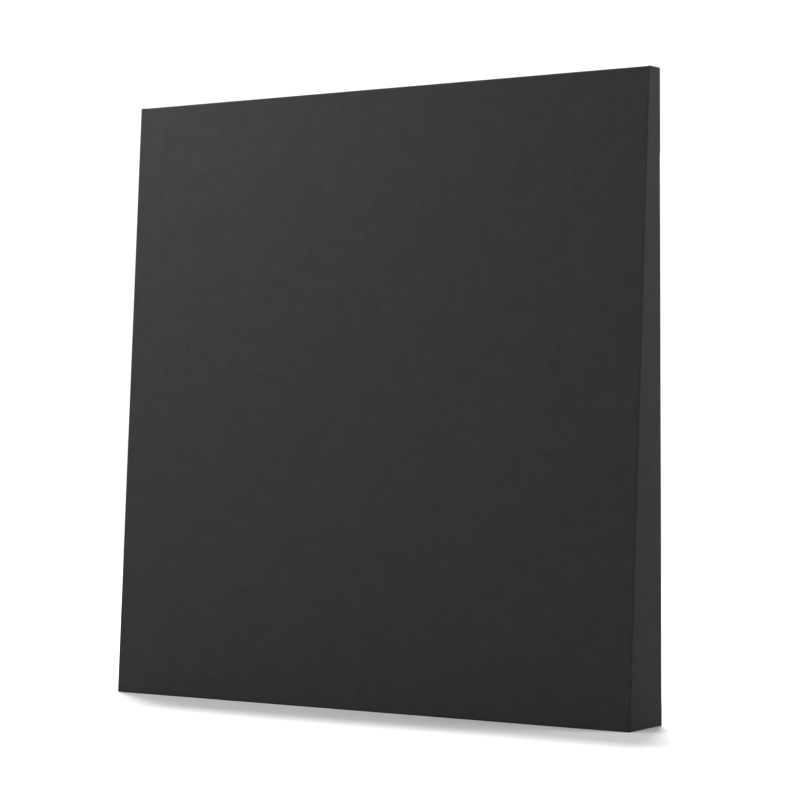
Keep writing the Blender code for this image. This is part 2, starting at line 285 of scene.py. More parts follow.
def fabric_material():
    m = material("charcoal_fabric_weave")
    t = Tree(m)
    uv = t.add("ShaderNodeUVMap", uv_map="weave").outputs[0]
    mm = t.vec("SCALE", uv)
    mm.node.inputs["Scale"].default_value = 1000.0
    # threads wander a little, so that the rows aren't ruled lines
    wander = t.add("ShaderNodeTexNoise", {"Vector": mm, "Scale": 0.16, "Detail": 2.0}, noise_dimensions="2D").outputs["Color"]
    moved = t.vec("ADD", mm, t.vec("MULTIPLY", t.vec("SUBTRACT", wander, (0.5, 0.5, 0.5)), (0.9, 0.9, 0.0)))
    sep = t.add("ShaderNodeSeparateXYZ", {0: moved})
    u, v = sep.outputs[0], sep.outputs[1]
    height, odd = weave_height(t, u, v, 0.92, 0.86)
    # slubs: each thread is thicker in places, along its own length
    along_u = t.noise(t.vec("MULTIPLY", mm, (0.055, 1.15, 1.0)), 1.0, 2.0, dims="2D")
    along_v = t.noise(t.vec("MULTIPLY", mm, (1.05, 0.05, 1.0)), 1.0, 2.0, dims="2D")
    slub = t.math("ADD", along_u, along_v)
    mottle = t.noise(mm, 0.22, 4.0, 0.62, dims="2D")
    broad = t.noise(mm, 0.018, 2.0, 0.5, dims="2D")
    fuzz = t.noise(mm, 2.6, 2.0, 0.6, dims="2D")
    # melange yarn: charcoal with a faint green cast; the colour is also darkened in the hollows between the threads, a
    # painted shade
    value = t.math("ADD", t.math("MULTIPLY", slub, 0.28), t.math("MULTIPLY", mottle, 0.44))
    value = t.math("ADD", value, t.math("MULTIPLY", broad, 0.12))
    tone = t.ramp(value, [(0.30, (0.0300, 0.0326, 0.0314)), (0.50, (0.0342, 0.0371, 0.0358)), (0.70, (0.0388, 0.0420, 0.0406))])
    # painted shade: the colour is up to a fifth darker where the weave dips between threads
    gaps = t.fit(height, 0.0, 0.55, 0.80, 1.0)
    flecks = t.fit(fuzz, 0.30, 0.72, 0.96, 1.04)
    # faint clouds up to a thumbnail's size, where the yarn took the dye unevenly
    clouds = t.noise(mm, 0.045, 2.0, 0.95, dims="2D")
    shade = t.math("MULTIPLY", t.math("MULTIPLY", gaps, flecks), t.fit(clouds, 0.3, 0.7, 0.93, 1.07))
    # painted shade: the colour darkens to 45% along each corner fold and the upright edge of the side's cloth on the
    # back, standing in for the thin shadow in the fold
    folded = fold_lines(t)
    shade = t.math("MULTIPLY", shade, t.fit(folded, 0.0, 1.0, 1.0, 0.45))
    colour = t.mix(1.0, tone, t.add("ShaderNodeCombineColor", {0: shade, 1: shade, 2: shade}).outputs[0], "MULTIPLY")
    relief = t.math("ADD", t.math("MULTIPLY", height, 1.0), t.math("MULTIPLY", fuzz, 0.35))
    relief = t.math("SUBTRACT", relief, t.math("MULTIPLY", folded, 1.5))
    n1 = t.bump(relief, 0.55, 0.00022)
    n2 = t.bump(t.math("ADD", slub, t.math("MULTIPLY", mottle, 1.2)), 0.35, 0.00010, n1)
    rough = t.fit(fuzz, 0.2, 0.8, 0.86, 0.98)
    t.principled(
        n2,
        Base_Color=colour,
        Roughness=rough,
        Specular_IOR_Level=0.22,
        Sheen_Weight=0.10,
        Sheen_Roughness=0.45,
        Sheen_Tint=(0.90, 0.98, 0.94),
    )
    return m


def object_mm(t):
    g = t.add("ShaderNodeTexCoord").outputs["Object"]
    s = t.vec("SCALE", g)
    s.node.inputs["Scale"].default_value = 1000.0
    return s


def nonwoven_material():
    m = material("nonwoven_black")
    t = Tree(m)
    p = object_mm(t)
    fibres = t.add(
        "ShaderNodeTexNoise", {"Vector": t.vec("MULTIPLY", p, (0.9, 1.0, 0.35)), "Scale": 1.0, "Detail": 5.0, "Roughness": 0.7, "Distortion": 1.5}
    ).outputs["Fac"]
    cross = t.add(
        "ShaderNodeTexNoise", {"Vector": t.vec("MULTIPLY", p, (0.3, 1.0, 1.0)), "Scale": 1.0, "Detail": 5.0, "Roughness": 0.7, "Distortion": 1.5}
    ).outputs["Fac"]
    web = t.math("MULTIPLY", fibres, cross)
    # the calender's bond points, a diamond grid
    sep = t.add("ShaderNodeSeparateXYZ", {0: p})
    a = t.math("ADD", sep.outputs[0], sep.outputs[2])
    b = t.math("SUBTRACT", sep.outputs[0], sep.outputs[2])
    pa = t.math("SINE", t.math("MULTIPLY", a, 2 * math.pi / 3.2))
    pb = t.math("SINE", t.math("MULTIPLY", b, 2 * math.pi / 3.2))
    points = t.fit(t.math("MULTIPLY", pa, pb), 0.45, 0.8, 0.0, 1.0)
    cloud = t.noise(p, 0.05, 4.0, 0.6)
    tone = t.ramp(cloud, [(0.3, (0.0135, 0.0136, 0.0146)), (0.7, (0.0215, 0.0216, 0.0230))])
    colour = t.mix(t.math("MULTIPLY", points, 0.35), tone, (0.008, 0.008, 0.009))
    height = t.math("SUBTRACT", t.math("MULTIPLY", web, 1.6), t.math("MULTIPLY", points, 0.35))
    rough = t.fit(t.math("SUBTRACT", web, t.math("MULTIPLY", points, 0.2)), 0.05, 0.5, 0.62, 0.82)
    t.principled(
        t.bump(height, 0.5, 0.00018),
        Base_Color=colour,
        Roughness=rough,
        Specular_IOR_Level=0.35,
        Sheen_Weight=0.06,
        Sheen_Roughness=0.4,
    )
    return m


def fleece_material():
    m = material("fleece_black")
    t = Tree(m)
    p = object_mm(t)
    fibres = t.noise(p, 0.9, 6.0, 0.7, distortion=1.2)
    cloud = t.noise(p, 0.04, 3.0)
    tone = t.ramp(cloud, [(0.3, (0.012, 0.012, 0.013)), (0.7, (0.019, 0.019, 0.0205))])
    t.principled(
        t.bump(fibres, 0.6, 0.00025),
        Base_Color=t.mix(t.fit(fibres, 0.4, 0.7, 0.0, 0.5), tone, (0.03, 0.03, 0.032)),
        Roughness=0.95,
        Specular_IOR_Level=0.15,
        Sheen_Weight=0.2,
        Sheen_Roughness=0.5,
    )
    return m


def wool_material():
    m = material("mineral_wool_board")
    t = Tree(m)
    p = object_mm(t)
    # long fibres lie in layers, parallel with the faces
    fibres = t.noise(t.vec("MULTIPLY", p, (0.35, 1.6, 0.35)), 1.0, 7.0, 0.72, distortion=2.2)
    strands = t.noise(t.vec("MULTIPLY", p, (0.9, 2.4, 0.14)), 1.0, 5.0, 0.7, distortion=1.4)
    blotch = t.noise(p, 0.022, 4.0, 0.6)
    tone = t.ramp(blotch, [(0.28, (0.235, 0.205, 0.110)), (0.5, (0.300, 0.270, 0.160)), (0.74, (0.360, 0.335, 0.215))])
    colour = t.mix(t.fit(strands, 0.36, 0.66, 0.0, 0.55), tone, (0.160, 0.128, 0.060))
    t.principled(
        t.bump(t.math("ADD", fibres, strands), 0.8, 0.0006),
        Base_Color=colour,
        Roughness=t.fit(fibres, 0.3, 0.7, 0.82, 0.97),
        Specular_IOR_Level=0.2,
        Sheen_Weight=0.12,
        Sheen_Roughness=0.5,
    )
    return m


def pine_material(name, along, seed):
    """Planed softwood. along is the axis of the grain: 0, 1 or 2."""
    m = material(name)
    t = Tree(m)
    p = object_mm(t)
    stretch = [1.0, 1.0, 1.0]
    stretch[along] = 0.035
    q = t.vec("ADD", t.vec("MULTIPLY", p, tuple(stretch)), (seed * 37.0, seed * 11.0, seed * 23.0))
    sway = t.add("ShaderNodeTexNoise", {"Vector": q, "Scale": 0.05, "Detail": 3.0}).outputs["Color"]
    q2 = t.vec("ADD", q, t.vec("MULTIPLY", t.vec("SUBTRACT", sway, (0.5, 0.5, 0.5)), (14.0, 14.0, 14.0)))
    sep = t.add("ShaderNodeSeparateXYZ", {0: q2})
    cross = [k for k in range(3) if k != along]
    dx = t.math("SUBTRACT", sep.outputs[cross[0]], -38.0 + seed * 3)
    dy = t.math("SUBTRACT", sep.outputs[cross[1]], -64.0)
    radius = t.math("SQRT", t.math("ADD", t.math("MULTIPLY", dx, dx), t.math("MULTIPLY", dy, dy)))
    # the rings of good and lean years lie wider and closer
    years = t.noise(t.add("ShaderNodeCombineXYZ", {0: radius}).outputs[0], 0.11, 2.0)
    ring = t.math("FRACT", t.math("ADD", t.math("DIVIDE", radius, 3.6), t.math("MULTIPLY", years, 4.5)))
    late = t.math("POWER", ring, 3.0)
    fine = t.noise(t.vec("MULTIPLY", q, (3.0, 3.0, 3.0)), 1.0, 4.0, 0.65)
    tone = t.ramp(fine, [(0.3, (0.470, 0.315, 0.165)), (0.7, (0.600, 0.425, 0.240))])
    colour = t.mix(t.math("MULTIPLY", late, 0.62), tone, (0.330, 0.180, 0.075))
    handled = t.noise(p, 0.03, 3.0)
    colour = t.mix(t.fit(handled, 0.45, 0.75, 0.0, 0.22), colour, (0.300, 0.190, 0.100))
    height = t.math("ADD", t.math("MULTIPLY", fine, 0.7), t.math("MULTIPLY", late, -0.4))
    t.principled(
        t.bump(height, 0.4, 0.00025),
        Base_Color=colour,
        Roughness=t.fit(fine, 0.3, 0.7, 0.52, 0.70),
        Specular_IOR_Level=0.35,
    )
    return m


def ply_material():
    m = material("plywood_gusset")
    t = Tree(m)
    p = object_mm(t)
    sep = t.add("ShaderNodeSeparateXYZ", {0: p})
    # plies 1.8 mm thick across the sheet, their grain crossing in turn
    ply = t.math("FRACT", t.math("DIVIDE", sep.outputs[1], 3.6))
    odd = t.math("GREATER_THAN", ply, 0.5)
    one = t.noise(t.vec("MULTIPLY", p, (0.03, 1.0, 1.2)), 1.0, 5.0, 0.65)
    two = t.noise(t.vec("MULTIPLY", p, (1.2, 1.0, 0.03)), 1.0, 5.0, 0.65)
    n = t.add("ShaderNodeMix", data_type="FLOAT")
    for k, v in ((0, odd), (2, one), (3, two)):
        t.t.links.new(v, n.inputs[k])
    grain = n.outputs[0]
    tone = t.ramp(grain, [(0.3, (0.500, 0.350, 0.205)), (0.7, (0.660, 0.510, 0.335))])
    glue = t.fit(t.math("ABSOLUTE", t.math("SUBTRACT", t.math("FRACT", t.math("DIVIDE", sep.outputs[1], 1.8)), 0.5)), 0.44, 0.5, 0.0, 0.7)
    colour = t.mix(glue, tone, (0.160, 0.085, 0.045))
    t.principled(t.bump(grain, 0.35, 0.0002), Base_Color=colour, Roughness=t.fit(grain, 0.3, 0.7, 0.55, 0.72), Specular_IOR_Level=0.35)
    return m


def aluminium_material():
    m = material("aluminium_drawn")
    t = Tree(m)
    p = object_mm(t)
    # die lines run along the profile, in X
    lines = t.noise(t.vec("MULTIPLY", p, (0.008, 5.5, 5.5)), 1.0, 4.0, 0.7)
    broad = t.noise(t.vec("MULTIPLY", p, (0.004, 0.9, 0.9)), 1.0, 3.0, 0.6)
    dull = t.noise(p, 0.07, 4.0, 0.6)
    scratch = t.add(
        "ShaderNodeTexNoise", {"Vector": t.vec("MULTIPLY", p, (0.5, 0.05, 0.11)), "Scale": 1.3, "Detail": 1.0, "Distortion": 3.0}
    ).outputs["Fac"]
    nick = t.fit(t.math("ABSOLUTE", t.math("SUBTRACT", scratch, 0.5)), 0.0, 0.006, 1.0, 0.0)
    tone = t.ramp(dull, [(0.3, (0.56, 0.565, 0.575)), (0.7, (0.68, 0.685, 0.69))])
    colour = t.mix(t.math("MULTIPLY", nick, 0.25), tone, (0.52, 0.53, 0.54))
    rough = t.math("ADD", t.fit(broad, 0.3, 0.7, 0.36, 0.48), t.math("MULTIPLY", dull, 0.10))
    t.principled(
        t.bump(t.math("SUBTRACT", lines, t.math("MULTIPLY", nick, 0.5)), 0.35, 0.00006),
        Base_Color=colour,
        Metallic=1.0,
        Roughness=rough,
        Anisotropic=0.45,
    )
    return m


def zinc_material():
    m = material("zinc_bright")
    t = Tree(m)
    p = object_mm(t)
    spangle = t.add("ShaderNodeTexVoronoi", {"Vector": p, "Scale": 1.6}, feature="F1").outputs["Color"]
    grey = t.add("ShaderNodeRGBToBW", {0: spangle}).outputs[0]
    film = t.noise(p, 0.5, 3.0)
    tone = t.ramp(grey, [(0.2, (0.56, 0.57, 0.585)), (0.8, (0.70, 0.71, 0.72))])
    colour = t.mix(t.fit(film, 0.45, 0.75, 0.0, 0.25), tone, (0.62, 0.60, 0.50))
    t.principled(
        t.bump(t.noise(p, 3.0, 3.0), 0.2, 0.00005),
        Base_Color=colour,
        Metallic=1.0,
        Roughness=t.fit(grey, 0.1, 0.9, 0.24, 0.42),
    )
    return m


def felt_material():
    m = material("felt_grey")
    t = Tree(m)
    p = object_mm(t)
    fibres = t.noise(p, 0.8, 7.0, 0.75, distortion=2.5)
    long_ = t.noise(t.vec("MULTIPLY", p, (0.5, 2.0, 1.6)), 1.0, 5.0, 0.7, distortion=2.0)
    cloud = t.noise(p, 0.15, 3.0)
    tone = t.ramp(cloud, [(0.3, (0.095, 0.096, 0.100)), (0.7, (0.140, 0.141, 0.146))])
    colour = t.mix(t.fit(t.math("MULTIPLY", fibres, long_), 0.18, 0.38, 0.0, 0.5), tone, (0.24, 0.24, 0.245))
    t.principled(
        t.bump(t.math("ADD", fibres, long_), 0.9, 0.00035),
        Base_Color=colour,
        Roughness=0.95,
        Specular_IOR_Level=0.15,
        Sheen_Weight=0.35,
        Sheen_Roughness=0.5,
    )
    return m


# ---------------------------------------------------------------- the fabric


def front_y(z, inset=0.0):
    """The front plane's y at a height, moved in by inset along its normal."""
    return BACK_Y - FOOT + z * (FOOT - HEAD) / HEIGHT + inset / math.cos(LEAN)


def ripple(p, size, amount):
    return amount * noise.noise(Vector(p) / size)


def fold_rise(p, n):
    """How far the cloth stands out of its plain place at a surface point p with normal n: the side's cloth is folded over the top's, the foot's and their turn-ins, and is one layer higher there."""
    x, y, z = p
    step = 0.00050
    side = HALF_W - abs(x)
    depth = y - front_y(z)
    rise = 0.0
    up = max(0.0, n[2])
    down = max(0.0, -n[2])
    back = max(0.0, n[1])
    # head: a 45 degree crease from the front corner to the back
    if up > 0:
        over = smoothstep(-0.0008, 0.0006, depth * 0.97 - side) * smoothstep(0.0, 0.0015, depth)
        ridge = math.exp(-(((depth * 0.97 - side) / 0.0011) ** 2)) * smoothstep(0.0, 0.004, depth)
        rise += up * (step * over + 0.00018 * ridge)
    # foot: the panel stands on the folded corners, so the cloth between them is a layer higher up
    if down > 0:
        over = smoothstep(-0.0012, 0.0010, depth * 0.97 - side)
        rise -= down * step * (1 - over) * smoothstep(0.002, 0.008, depth)
    if back > 0:
        strip = 1 - smoothstep(0.0180, 0.0200, side)
        at_head = smoothstep(CUT_HIGH - 0.006, CUT_HIGH + 0.002, z)
        at_foot = 1 - smoothstep(CUT_LOW - 0.002, CUT_LOW + 0.006, z)
        rise += back * step * 0.8 * strip * max(at_head, at_foot)
        # the mitre of the tucked corner, a slight ridge at 45 degrees
        low = min(z, 0.10)
        ridge = math.exp(-(((low - side) / 0.0014) ** 2)) * (1 if low < 0.10 else 0)
        rise += back * 0.00016 * ridge * strip * at_foot
    return rise


def make_fabric():
    """The cover: one closed skin, stretched over the wedge and turned onto its back."""
    inner_x = HALF_W - EDGE
    xs = grid_lines(-inner_x, inner_x, [(0.024, 0.0013), (0.062, 0.0025)], 0.0075, [-CUT_X, -NOTCH_X, NOTCH_X, CUT_X])
    zs = grid_lines(EDGE, HEIGHT - EDGE, [(0.024, 0.0016), (0.040, 0.0040)], 0.0075, [CUT_LOW, CUT_HIGH, NOTCH_TOP, CUT_HIGH - 0.002, CUT_HIGH - 0.004, CUT_HIGH - 0.006, CUT_HIGH + 0.002])
    nx, nz = len(xs), len(zs)
    FAN, ARC = 4, 4
    n_front = Vector((0, -math.cos(LEAN), math.sin(LEAN)))
    n_back = Vector((0, 1, 0))

    ring = []  # (i, j, in-plane direction)
    down, right, up, left = ((0, -1), (1, 0), (0, 1), (-1, 0))

    def fan(i, j, a, b):
        return [(i, j, tuple(slerp((a[0], a[1], 0), (b[0], b[1], 0), k / FAN))[:2]) for k in range(1, FAN)]

    ring += [(i, 0, down) for i in range(nx)] + fan(nx - 1, 0, down, right)
    ring += [(nx - 1, j, right) for j in range(nz)] + fan(nx - 1, nz - 1, right, up)
    ring += [(i, nz - 1, up) for i in reversed(range(nx))] + fan(0, nz - 1, up, left)
    ring += [(0, j, left) for j in reversed(range(nz))] + fan(0, 0, left, down)
    count = len(ring)

    def in_opening(x, z):
        return abs(x) < CUT_X and CUT_LOW < z < CUT_HIGH or abs(x) < NOTCH_X and CUT_HIGH < z < NOTCH_TOP

    keep_cell = {
        (i, j): not in_opening((xs[i] + xs[i + 1]) / 2, (zs[j] + zs[j + 1]) / 2) for i in range(nx - 1) for j in range(nz - 1)
    }
    verts, faces, flats = [], [], []

    def put(q, n, radius, uv, outer):
        p = Vector(q) + n * radius
        if outer:
            p += n * (fold_rise(p, n) + ripple(p, 0.085, 0.00009) + ripple(p + Vector((3, 1, 7)), 0.021, 0.00002))
            p.z = max(p.z, 0.0)
        verts.append(p)
        flats.append(uv)
        return len(verts) - 1

    def layer(radius, loops, outer):
        """One side of the cloth, and the vertex numbers of the back grid."""
        s_of = [z / math.cos(LEAN) for z in zs]
        front = {}
        for j, z in enumerate(zs):
            for i, x in enumerate(xs):
                front[i, j] = put((x, front_y(z, EDGE), z), n_front, radius, (x, s_of[j]), outer)
        rows = []
        arc_len = EDGE * math.pi / 2
        depth_at = [BACK_Y - EDGE - front_y(z, EDGE) for z in zs]
        rows.append([front[i, j] for i, j, _ in ring])
        for k in range(1, ARC + 1):
            rows.append(
                [
                    put(
                        (xs[i], front_y(zs[j], EDGE), zs[j]),
                        slerp(n_front, (m[0], 0, m[1]), k / ARC),
                        radius,
                        (xs[i] + m[0] * arc_len * k / ARC, s_of[j] + m[1] * arc_len * k / ARC),
                        outer,
                    )
                    for i, j, m in ring
                ]
            )
        for k in range(1, loops + 1):
            f = k / loops
            row = []
            for i, j, m in ring:
                d = arc_len + depth_at[j] * f
                y = front_y(zs[j], EDGE) + depth_at[j] * f
                row.append(put((xs[i], y, zs[j]), Vector((m[0], 0, m[1])), radius, (xs[i] + m[0] * d, s_of[j] + m[1] * d), outer))
            rows.append(row)
        for k in range(1, ARC):
            row = []
            for i, j, m in ring:
                d = arc_len + depth_at[j] + arc_len * k / ARC
                row.append(
                    put(
                        (xs[i], BACK_Y - EDGE, zs[j]),
                        slerp((m[0], 0, m[1]), n_back, k / ARC),
                        radius,
                        (xs[i] + m[0] * d, s_of[j] + m[1] * d),
                        outer,
                    )
                )
            rows.append(row)
        used = {c for (i, j), on in keep_cell.items() if on for c in ((i, j), (i + 1, j), (i + 1, j + 1), (i, j + 1))}
        back = {}
        rng = random.Random(7)
        for j, z in enumerate(zs):
            for i, x in enumerate(xs):
                if (i, j) in used:
                    wobble = (0.0, 0.0)
                    if edge_vertex(i, j):
                        wobble = (0.0007 * noise.noise(Vector((z * 90, x * 35, 1.3))), 0.0007 * noise.noise(Vector((x * 90, z * 35, 5.1))))
                    back[i, j] = put((x + wobble[0], BACK_Y - EDGE, z + wobble[1]), n_back, radius, (x, s_of[j]), outer)
        rows.append([back[i, j] for i, j, _ in ring])
        made = []
        for j in range(nz - 1):
            for i in range(nx - 1):
                made.append((front[i, j], front[i + 1, j], front[i + 1, j + 1], front[i, j + 1]))
        for a, b in zip(rows, rows[1:]):
            for k in range(count):
                l = (k + 1) % count
                f = [a[k], b[k], b[l], a[l]]
                f = [v for n_, v in enumerate(f) if v not in f[:n_]]
                if len(f) > 2:
                    made.append(tuple(f))
        for (i, j), on in keep_cell.items():
            if on:
                made.append((back[i, j], back[i, j + 1], back[i + 1, j + 1], back[i + 1, j]))
        faces.extend(made if outer else [tuple(reversed(f)) for f in made])
        return back

    def cell_on(i, j):
        return keep_cell.get((i, j))

    def edge_vertex(i, j):
        around = [cell_on(i + a, j + b) for a in (-1, 0) for b in (-1, 0)]
        return any(c is False for c in around) and any(c is True for c in around)

    outer = layer(EDGE, 22, True)
    inner = layer(EDGE - CLOTH, 2, False)
    # the cut edge between the two
    for (i, j), on in keep_cell.items():
        if not on:
            continue
        for (di, dj), (a, b) in (
            ((0, -1), ((i, j), (i + 1, j))),
            ((1, 0), ((i + 1, j), (i + 1, j + 1))),
            ((0, 1), ((i + 1, j + 1), (i, j + 1))),
            ((-1, 0), ((i, j + 1), (i, j))),
        ):
            if cell_on(i + di, j + dj) is False:
                faces.append((outer[a], outer[b], inner[b], inner[a]))

    o = new_object("fabric_wrap", verts, faces)
    # the weave's own coordinates, in metres of unfolded cloth
    me = o.data
    layer_uv = me.uv_layers.new(name="weave")
    co = [v.co for v in me.vertices]
    for poly in me.polygons:
        c = poly.center
        on_back = poly.normal.y > 0.95 and c.y > BACK_Y - 0.0016
        for li in poly.loop_indices:
            vi = me.loops[li].vertex_index
            uv = flats[vi]
            if on_back:
                x, z = co[vi].x, co[vi].z
                if abs(c.x) > CUT_X:
                    s = 1 if c.x > 0 else -1
                    uv = (s * (0.3 + 0.05 + (0.3 - abs(x))), z)
                elif c.z > CUT_HIGH:
                    uv = (x, 0.6 + HEAD + (0.6 - z))
                else:
                    uv = (x, -FOOT - z)
            layer_uv.data[li].uv = uv
    return o


# ---------------------------------------------------------------- the dust cover and its staples


def staple_spots():
    """Where the dust cover is stapled: (x, z, angle of the crown, inward direction)."""
    rng = random.Random(20)
    spots = []
    n = 10
    for k in range(n):
        z = 0.034 + (0.512 - 0.034) * k / (n - 1) + rng.uniform(-0.004, 0.004)
        for s in (-1, 1):
            spots.append((s * (0.2862 + rng.uniform(-0.0008, 0.0008)), z + rng.uniform(-0.003, 0.003), math.pi / 2 + rng.uniform(-0.14, 0.14), (-s, 0)))
    n = 10
    for k in range(n):
        x = -0.262 + 0.524 * k / (n - 1)
        spots.append((x + rng.uniform(-0.004, 0.004), 0.0138 + rng.uniform(-0.0006, 0.0006), rng.uniform(-0.12, 0.12), (0, 1)))
        top = 0.5315 if abs(x) > NOTCH_X else 0.5245
        spots.append((x + rng.uniform(-0.004, 0.004), top - 0.0015 + rng.uniform(-0.0006, 0.0006), rng.uniform(-0.12, 0.12), (0, -1)))
    return spots


SPOTS = staple_spots()


def cloth_height(x, z):
    """How far the wrapped cloth's outer face stands out of the back plane."""
    p = Vector((x, BACK_Y, z))
    return fold_rise(p, (0, 1, 0)) + ripple(p, 0.085, 0.00009) + ripple(p + Vector((3, 1, 7)), 0.021, 0.00002)


def find_seams():
    """Each edge's staple line, and for every gap between two staples how far its slack bulges and how deep that runs into the sheet."""
    rng = random.Random(31)
    lines = {}
    for x, z, _, inward in SPOTS:
        lines.setdefault(inward, []).append((z, x) if inward[0] else (x, z))
    seams = []
    for inward, spots in lines.items():
        spots.sort()
        across = sum(p[1] for p in spots) / len(spots)
        ends = (DUST_LOW, DUST_HIGH) if inward[0] else (-DUST_X, DUST_X)
        places = [ends[0]] + [p[0] for p in spots] + [ends[1]]
        gaps = []
        for k, (a, b) in enumerate(zip(places, places[1:])):
            corner = 0.25 if k in (0, len(places) - 2) else 1.0
            gaps.append((a, b, corner * rng.uniform(0.0006, 0.0017), corner * rng.uniform(-0.0006, 0.0007), rng.uniform(0.040, 0.120)))
        seams.append((inward, across, gaps, rng.uniform(0, 50)))
    return seams


SEAMS = find_seams()
PAD_SPOTS = [tuple((a + b) / 2 for a, b in zip(*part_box(n)))[::2] for n in NODES if n.startswith("wall_pad")]


def dust_height(x, z):
    """Height of the dust cover's underside over the wrapped back, in metres."""
    h = 0.00016
    side = DUST_X - abs(x)
    edge = min(side, z - DUST_LOW, DUST_HIGH - z)
    # it rides over the doubled cloth of the corners
    if side < 0.016:
        lift = max(smoothstep(0.516, 0.526, z), 1 - smoothstep(0.016, 0.026, z))
        h += 0.00040 * lift * (1 - smoothstep(0.0100, 0.0150, side))
    # it dips a little between the turned-in cloth, over the core
    h -= 0.00055 * smoothstep(0.012, 0.060, edge)
    # slack bulges between the staples and runs inwards, at a slant
    for inward, across, gaps, seed in SEAMS:
        into = x * inward[0] + z * inward[1] - across * (inward[0] + inward[1])
        if into > 0.30:
            continue
        deep = max(0.0, into)
        along = z if inward[0] else x
        c = along + 0.30 * noise.noise(Vector((along * 6, seed, 0))) * deep
        for a, b, bulge, double, reach in gaps:
            if a <= c <= b:
                u = (c - a) / (b - a)
                fade = math.exp(-((deep / reach) ** 1.3))
                h += fade * (bulge * math.sin(math.pi * u) ** 2 + double * math.sin(2 * math.pi * u) ** 2)
                break
    # short pulls fan out from each staple
    for k, (sx, sz, _, inward) in enumerate(SPOTS):
        dx, dz = x - sx, z - sz
        along = dz if inward[0] else dx
        if abs(along) > 0.050:
            continue
        into = dx * inward[0] + dz * inward[1]
        if -0.010 < into < 0.14:
            reach = 0.022 + 0.020 * ((k * 7) % 5) / 4
            skew = 0.35 * math.sin(k * 2.3)
            off = (along - skew * max(0.0, into)) / (1 + max(0.0, into) / 0.045)
            fade = math.exp(-max(0.0, into) / reach)
            h += 0.00030 * fade * math.exp(-((off / 0.013) ** 2)) * math.cos(off * 2 * math.pi / 0.0125)
            h -= 0.00026 * math.exp(-(along * along + into * into) / (0.0065**2))
    # long soft waves in the middle
    middle = smoothstep(0.0, 0.06, edge)
    h += 0.0010 * middle * noise.noise(Vector((x * 16 + z * 5, z * 5, 0.4)))
    h += 0.0008 * middle * noise.noise(Vector((x * 6 + z * 22, z * 9 - x * 7, 3.4)))
    # it rests on the cloth all round the opening, and hangs free inside it
    inside = min(CUT_X - abs(x), z - CUT_LOW, CUT_HIGH - z)
    free = smoothstep(0.0008, 0.0070, inside)
    h = max(h, (cloth_height(x, z) + 0.00004) * (1 - free) - 0.0011 * free)
    # the wall half of the cleat keeps it down at the top
    beside = max(0.0, abs(x) - 0.166, 0.530 - z)
    h = min(h, 0.00040 + 0.0030 * smoothstep(0.0, 0.030, beside))
    # the pads are glued down flat
    for px, pz in PAD_SPOTS:
        away = math.hypot(x - px, z - pz)
        if away < 0.026:
            h += (0.00070 - h) * (1 - smoothstep(0.0128, 0.026, away))
    return h


def hem_height(x, z):
    """The turned-in hem adds a second layer, 13 mm wide."""
    edge = min(DUST_X - abs(x), z - DUST_LOW, DUST_HIGH - z)
    wander = 0.0008 * noise.noise(Vector((x * 22, z * 22, 9.0)))
    return 0.00020 * (1 - smoothstep(0.0122, 0.0138, edge + wander))


def make_dust_sheet():
    bands = [(0.004, 0.001), (0.0118, 0.0020), (0.0142, 0.0008), (0.060, 0.0030)]
    xs = grid_lines(-DUST_X, DUST_X, bands, 0.0034)
    zs = grid_lines(DUST_LOW, DUST_HIGH, bands, 0.0034)
    nx, nz = len(xs), len(zs)
    thick = 0.00024
    verts, faces = [], []
    top, low = {}, {}
    for j, z in enumerate(zs):
        for i, x in enumerate(xs):
            out_x = 0.0006 * noise.noise(Vector((2.0, z * 40, 0))) if i in (0, nx - 1) else 0.0
            out_z = 0.0006 * noise.noise(Vector((x * 40, 7.0, 0))) if j in (0, nz - 1) else 0.0
            h = dust_height(x, z)
            edge = min(i, nx - 1 - i, j, nz - 1 - j)
            lip = 0.00016 if edge == 0 else 0.0
            low[i, j] = len(verts)
            verts.append((x + out_x, BACK_Y + h + lip, z + out_z))
            top[i, j] = len(verts)
            verts.append((x + out_x, BACK_Y + h + thick + hem_height(x, z) - lip, z + out_z))
    for j in range(nz - 1):
        for i in range(nx - 1):
            faces.append((top[i, j], top[i, j + 1], top[i + 1, j + 1], top[i + 1, j]))
            faces.append((low[i, j], low[i + 1, j], low[i + 1, j + 1], low[i, j + 1]))
    loop = [(i, 0) for i in range(nx)] + [(nx - 1, j) for j in range(1, nz)] + [(i, nz - 1) for i in reversed(range(nx - 1))] + [(0, j) for j in reversed(range(1, nz - 1))]
    for a, b in zip(loop, loop[1:] + loop[:1]):
        faces.append((low[a], top[a], top[b], low[b]))
    return new_object("dust_sheet", verts, faces)


